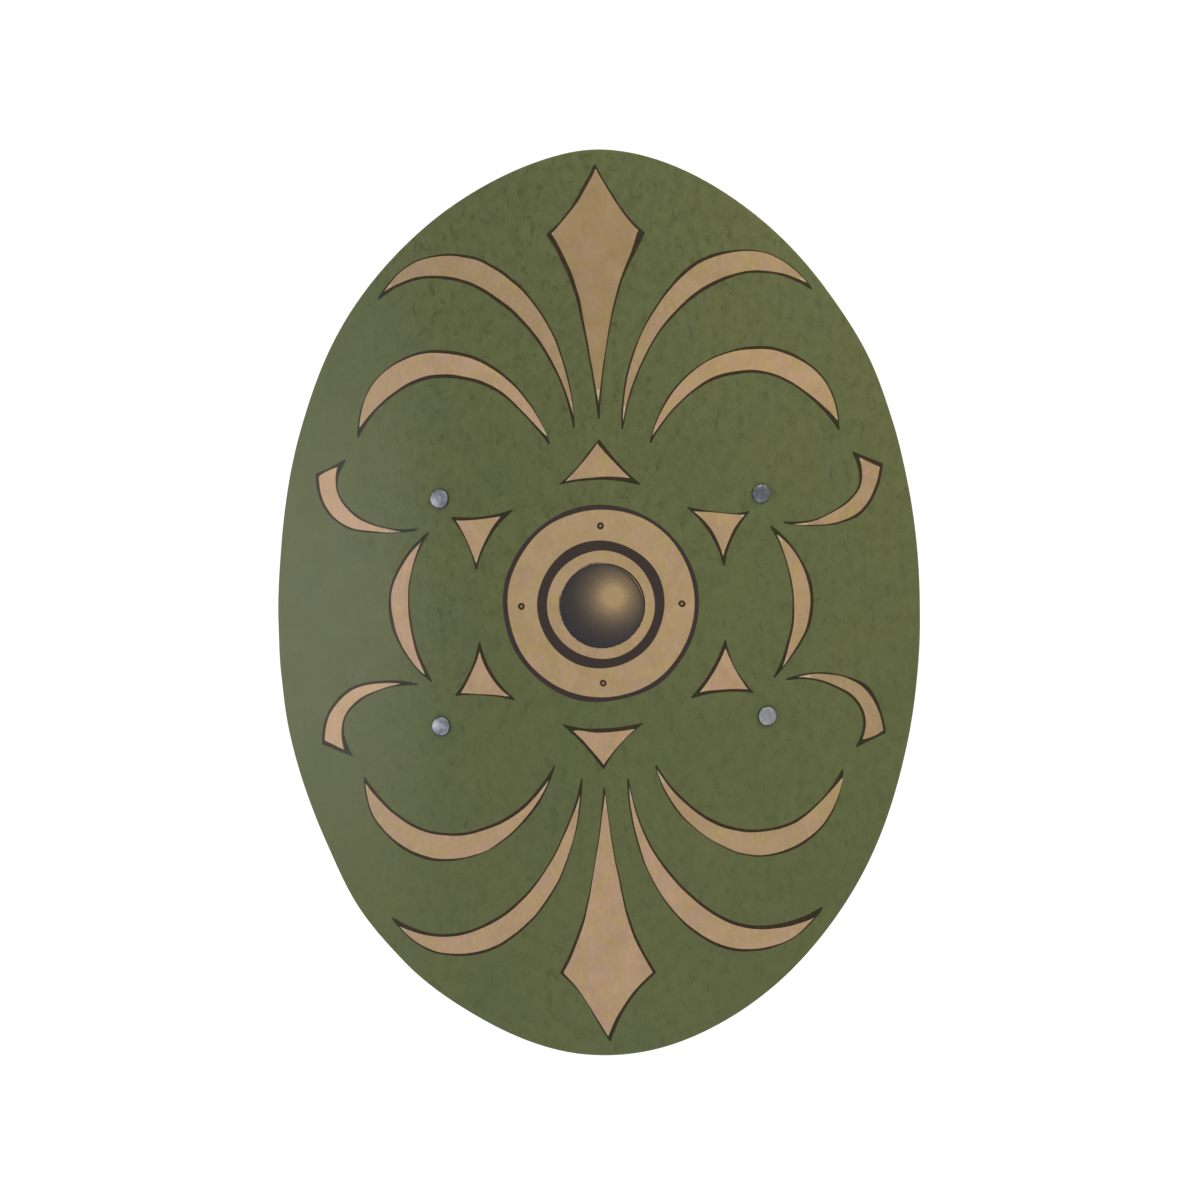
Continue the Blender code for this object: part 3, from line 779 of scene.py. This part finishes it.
def strap_shape(lower, upper):
    """The function that lays a flat strap on the board's back between two spots."""
    middle = 0.5 * (lower + upper)
    length = (upper - lower).length
    along = (upper - lower).normalized()
    bowed = 0.5 * length - STRAP_SEAT
    middle_depth = BOARD_THICKNESS + TOUCH_GAP + 0.5 * STRAP_THICKNESS

    def shape(place, edge, height):
        depth = slope = 0.0
        if abs(place) < bowed:
            wave = pi * place / bowed
            depth = 0.5 * STRAP_BOW * (1.0 + cos(wave))
            slope = -0.5 * STRAP_BOW * sin(wave) * pi / bowed
        upright = 1.0 / hypot(1.0, slope)
        above_middle = (height + 0.5 * STRAP_THICKNESS) * upright
        run = place + above_middle * slope
        flat = middle + along * run + Vector((-along.y, along.x)) * edge
        return bend(flat.x, flat.y, above_middle - depth - middle_depth)

    return shape


POLISH_SPREAD = 0.06  # how much rougher or smoother the leather is in places


def leather(name, dark, light, roughness):
    """Vegetable-tanned cowhide: small pebbled grain, and darker where it is handled."""
    made, add, shader = material(name)
    drawing = add("UVMap", uv_map="drawing")
    pebbles = add("TexVoronoi", {"Vector": drawing, "Scale": 1.0 / 0.9})
    patches = add("TexNoise", {"Vector": drawing, "Scale": 1.0 / 12.0, "Detail": 5.0})
    handled = add("MapRange", {"Value": patches, "From Min": 0.35, "From Max": 0.65})
    tone = add("Mix", {"Factor": handled, "A": dark, "B": light}, data_type="RGBA")
    creases = add("MapRange", {"Value": pebbles, "From Min": 0.25, "From Max": 0.6, "To Max": 0.4})
    grained = add("Mix", {"Factor": creases, "A": tone, "B": dark}, data_type="RGBA")
    polish = add("MapRange", {"Value": patches, "From Min": 0.3, "From Max": 0.7,
                              "To Min": roughness - POLISH_SPREAD, "To Max": roughness + POLISH_SPREAD})
    bump = add("Bump", {"Height": pebbles, "Distance": 0.2 * MM, "Strength": 0.5}, invert=True)
    connect(shader, {"Base Color": grained, "Roughness": polish, "Normal": bump})
    return made


leathers = [leather("cowhide_flesh_side", "#8a6544", "#9c7752", 0.85),
            leather("burnished_cowhide_edge", "#3a2216", "#4a2d1d", 0.45),
            leather("cowhide_grain_side", "#5c3a24", "#70492e", 0.5)]
STRAP_MAP_SCALE = 0.0058
STRAP_MAP_MIDDLE = Vector((0.5, 0.25))
STRAP_MAP_BACK = Vector((0.5, 0.65))
for strap_name, (lower_name, upper_name) in STRAPS.items():
    lower, upper = spots[lower_name], spots[upper_name]
    half = 0.5 * (upper - lower).length
    strap = plate(
        "leather_" + strap_name, strap_outline(2.0 * half),
        [circle((end * half, 0.0), HOLE_RADIUS, HOLE_STEPS) for end in (-1.0, 1.0)], [], 0,
        leathers, STRAP_THICKNESS, STRAP_ROUNDING, (STRAP_GRID, STRAP_GRID),
        strap_shape(lower, upper),
        (lambda point: STRAP_MAP_MIDDLE + STRAP_MAP_SCALE * point,
         lambda point: STRAP_MAP_BACK + STRAP_MAP_SCALE * point))
    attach(strap, "root")
    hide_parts(strap_name)

# The rivets. Nickel-plated steel, pressed: a low cap with a tight shoulder in front, a
# shank through board and strap, and a peened tail behind. Each was struck a little
# differently, so each cap has its own dimple, dome, lean and polish.
CAP_RADIUS = 4.75
CAP_HEIGHT = 1.6
CAP_SHOULDER = 0.6
TAIL_RADIUS = 4.25
TAIL_HEIGHT = 1.3
TAIL_DOME = 0.35
TAIL_DIMPLE = 0.25
SHANK_RADIUS = 2.0
TAIL_DEPTH = BOARD_THICKNESS + STRAP_THICKNESS + 2.0 * TOUCH_GAP
DIMPLE_WIDTH = 0.16  # as a share of the head's radius
HEAD_FOOT = 0.12  # how much of a head's lower edge is broken
PAINTED_SHADE_TILT = 27.0  # degrees of tilt from which a head's shoulder is painted dark: painted shade round its foot
SHARP_EDGE = 50.0  # degrees between two faces that meet in a hard edge
RIVET_SIDES = 72
DOME_STEPS = 12
SHOULDER_STEPS = 8


def head_profile(radius, height, shoulder, dome, dimple):
    """A head's profile from its middle out to its foot, as (radius, height) points."""
    points = []
    flat = radius - shoulder
    for step in range(DOME_STEPS + 1):
        place = flat * step / DOME_STEPS
        sunk = dimple * exp(-((place / (DIMPLE_WIDTH * radius)) ** 2))
        points.append((place, height - dome * (place / flat) ** 2 - sunk))
    top = height - dome
    for step in range(1, SHOULDER_STEPS + 1):
        turn = 0.5 * pi * step / SHOULDER_STEPS
        points.append((flat + shoulder * sin(turn), top - shoulder + shoulder * cos(turn)))
    return points + [(radius, HEAD_FOOT), (radius - HEAD_FOOT, 0.0)]


def turned(name, profile, spot, lean, polished, shade_painted_nickel):
    """A profile turned once round a rivet's axis. The cap's top slopes up by the lean."""
    axis_point = bend(spot.x, spot.y, 0.0)
    up = (bend(spot.x, spot.y, 1.0) - axis_point).normalized()
    along = Vector((0.0, 1.0, 0.0))
    across = along.cross(up)
    vertices = []
    rings = []
    for radius, height in profile:
        start = len(vertices)
        if radius < CLOSE:
            vertices.append(axis_point + MM * height * up)
        else:
            for side in range(RIVET_SIDES):
                turn = tau * side / RIVET_SIDES
                out = cos(turn) * across + sin(turn) * along
                slant = radius * (lean[0] * cos(turn) + lean[1] * sin(turn))
                raised = height + slant * max(0.0, height) / CAP_HEIGHT
                vertices.append(axis_point + MM * (radius * out + raised * up))
        rings.append(range(start, len(vertices)))
    faces = []
    slots = []
    for step, (inner, outer) in enumerate(zip(rings, rings[1:])):
        run, rise = (abs(far - near) for near, far in zip(profile[step], profile[step + 1]))
        # A band this steep gets the darker steel: painted shade, a dark ring round the head's foot
        steep = degrees(atan2(rise, run)) > PAINTED_SHADE_TILT
        for side in range(RIVET_SIDES):
            around = [ring[place % len(ring)] for ring, place in
                      ((inner, side), (outer, side), (outer, side + 1), (inner, side + 1))]
            # In the middle of a head two of the corners are one
            faces.append(list(dict.fromkeys(around)))
            slots.append(int(steep))
    mesh = bpy.data.meshes.new(name)
    mesh.from_pydata(vertices, [], faces)
    mesh.shade_smooth()
    mesh.set_sharp_from_angle(angle=radians(SHARP_EDGE))
    mesh.materials.append(polished)
    mesh.materials.append(shade_painted_nickel)
    mesh.polygons.foreach_set("material_index", slots)
    return add_object(name, mesh)


def plated_steel(name, dull, bright, roughness, cloud):
    """Nickel-plated steel: bluish grey, clouded by handling, with fine scratches."""
    made, add, shader = material(name)
    place = add("TexCoord").outputs["Object"]
    breath = add("TexNoise", {"Vector": place, "Scale": 1.0 / (2.2 * MM), "Detail": 4.0})
    clouds = add("MapRange", {"Value": breath, "From Min": 0.3, "From Max": 0.7})
    worn = add("Mix", {"Factor": clouds, "A": dull, "B": bright}, data_type="RGBA")
    polish = add("MapRange", {"Value": breath, "From Min": 0.3, "From Max": 0.7,
                              "To Min": roughness - cloud, "To Max": roughness + cloud})
    scratches = add("TexNoise", {"Vector": place, "Scale": 1.0 / (0.4 * MM), "Detail": 3.0,
                                 "Distortion": 2.0})
    bump = add("Bump", {"Height": scratches, "Distance": 0.02 * MM, "Strength": 0.4})
    connect(shader, {"Base Color": worn, "Roughness": polish, "Metallic": 1.0, "Normal": bump})
    return made


# Dimple depth, dome height, lean across and along, and finish of each cap, as struck
# Each cap's tones are set apart to match how bright its reflection looks: partly painted reflection
CAPS = {
    "rivet_upper_left": (0.10, 0.30, (0.03, -0.03), ("#989aa2", "#b4b5bf", 0.32, 0.05)),
    "rivet_lower_left": (0.05, 0.36, (0.03, -0.02), ("#9698a0", "#bcbcc6", 0.3, 0.08)),
    "rivet_upper_right": (0.00, 0.70, (0.04, 0.06), ("#86868d", "#a8a8ad", 0.18, 0.04)),
    "rivet_lower_right": (0.00, 0.30, (0.03, 0.03), ("#b4b4b9", "#cecfd2", 0.4, 0.04)),
}
# Darker steel for the steep shoulders: painted shade and painted dark reflection round each cap's foot
shade_painted_nickel = plated_steel("nickel_with_painted_shade", "#55565c", "#6a6b70", 0.3, 0.05)
for rivet_name, (dimple, dome, lean, finish) in CAPS.items():
    cap = head_profile(CAP_RADIUS, CAP_HEIGHT, CAP_SHOULDER, dome, dimple)
    tail = head_profile(TAIL_RADIUS, TAIL_HEIGHT, CAP_SHOULDER, TAIL_DOME, TAIL_DIMPLE)
    profile = [(radius, TOUCH_GAP + height) for radius, height in cap]
    profile += [(SHANK_RADIUS, TOUCH_GAP), (SHANK_RADIUS, -TAIL_DEPTH)]
    profile += [(radius, -TAIL_DEPTH - height) for radius, height in reversed(tail)]
    rivet = turned("steel_" + rivet_name, profile, spots[rivet_name], lean,
                   plated_steel("nickel_plated_" + rivet_name, *finish), shade_painted_nickel)
    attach(rivet, "root")
    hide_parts(rivet_name)

# The studio: the shield lies on a lit white table and the camera looks straight down on
# it. The light is plain and soft, and the surroundings at its left are the brightest
# thing that the lacquer mirrors.
CAMERA_HEIGHT = 1600.0  # above the board's crown
FRAME_WIDTH = BOARD_LENGTH * 1200.0 / 907.0  # the board fills 907 of the photo's 1200 pixels
CAMERA_PLACE = (0.57, 1.22)
CAMERA_TURN = -0.0168  # the photo shows the shield turned a degree the other way
SENSOR_WIDTH = 36.0
scene = bpy.context.scene
camera_data = bpy.data.cameras.new("camera")
camera_data.sensor_width = SENSOR_WIDTH
camera_data.lens = SENSOR_WIDTH * CAMERA_HEIGHT / FRAME_WIDTH
camera = add_object("camera", camera_data)
camera.location = MM * Vector((*CAMERA_PLACE, CROWN + CAMERA_HEIGHT))
camera.rotation_euler = (0.0, 0.0, CAMERA_TURN)
scene.camera = camera
scene.view_settings.view_transform = "Standard"

# White acrylic lit from below, which leaves almost no shadow. Its underside is clear, so
# that the shield's back shows from below.
FLOOR_HALF = 4.0
ACRYLIC_GLOW = 0.92
floor_mesh = bpy.data.meshes.new("floor")
floor_mesh.from_pydata([(x * FLOOR_HALF, y * FLOOR_HALF, 0.0)
                        for x, y in ((-1, -1), (1, -1), (1, 1), (-1, 1))], [], [(0, 1, 2, 3)])
acrylic, add, shader = material("lit_white_acrylic")
connect(shader, {"Base Color": "#999999", "Roughness": 0.9, "Specular IOR Level": 0.0,
                 "Emission Color": "#ffffff", "Emission Strength": ACRYLIC_GLOW})
underside = add("NewGeometry").outputs["Backfacing"]
table = add("MixShader", {0: underside, 1: shader, 2: add("BsdfTransparent")})
connect(acrylic.node_tree.nodes["Material Output"], {"Surface": table})
floor_mesh.materials.append(acrylic)
floor = add_object("floor", floor_mesh)

# Each softbox: its angle round the shield from the right and its height, in degrees, its
# distance, width and height in metres, its power in watts, and its light's colour
SOFTBOXES = {
    "top": (90.0, 45.0, 2.0, 1.6, 0.8, 9.9, "#ffffff"),
    "bottom": (270.0, 45.0, 2.0, 1.6, 0.8, 11.6, "#ffffff"),
    "left": (180.0, 35.0, 1.5, 0.37, 1.05, 1.75, "#ffffff"),
    "small": (44.0, 24.0, 0.7, 0.22, 0.17, 1.2, "#fff0cc"),
}
for light_name, (around, above, distance, width, height, power, tint) in SOFTBOXES.items():
    lamp = bpy.data.lights.new("softbox_" + light_name, "AREA")
    lamp.shape = "RECTANGLE"
    lamp.size = width
    lamp.size_y = height
    lamp.energy = power
    lamp.color = colour(tint)[:3]
    around, above = radians(around), radians(above)
    towards = Vector((cos(above) * cos(around), cos(above) * sin(around), sin(above)))
    softbox = add_object("softbox_" + light_name, lamp)
    softbox.location = distance * towards
    softbox.rotation_euler = towards.to_track_quat("Z", "Y").to_euler()
    softbox.visible_camera = False

# A pale, faintly bluish room lights the rest
ROOM_LIGHT = 0.42
world = bpy.data.worlds.new("studio")
world.use_nodes = True
connect(world.node_tree.nodes["Background"], {"Color": "#eef0f6", "Strength": ROOM_LIGHT})
scene.world = world
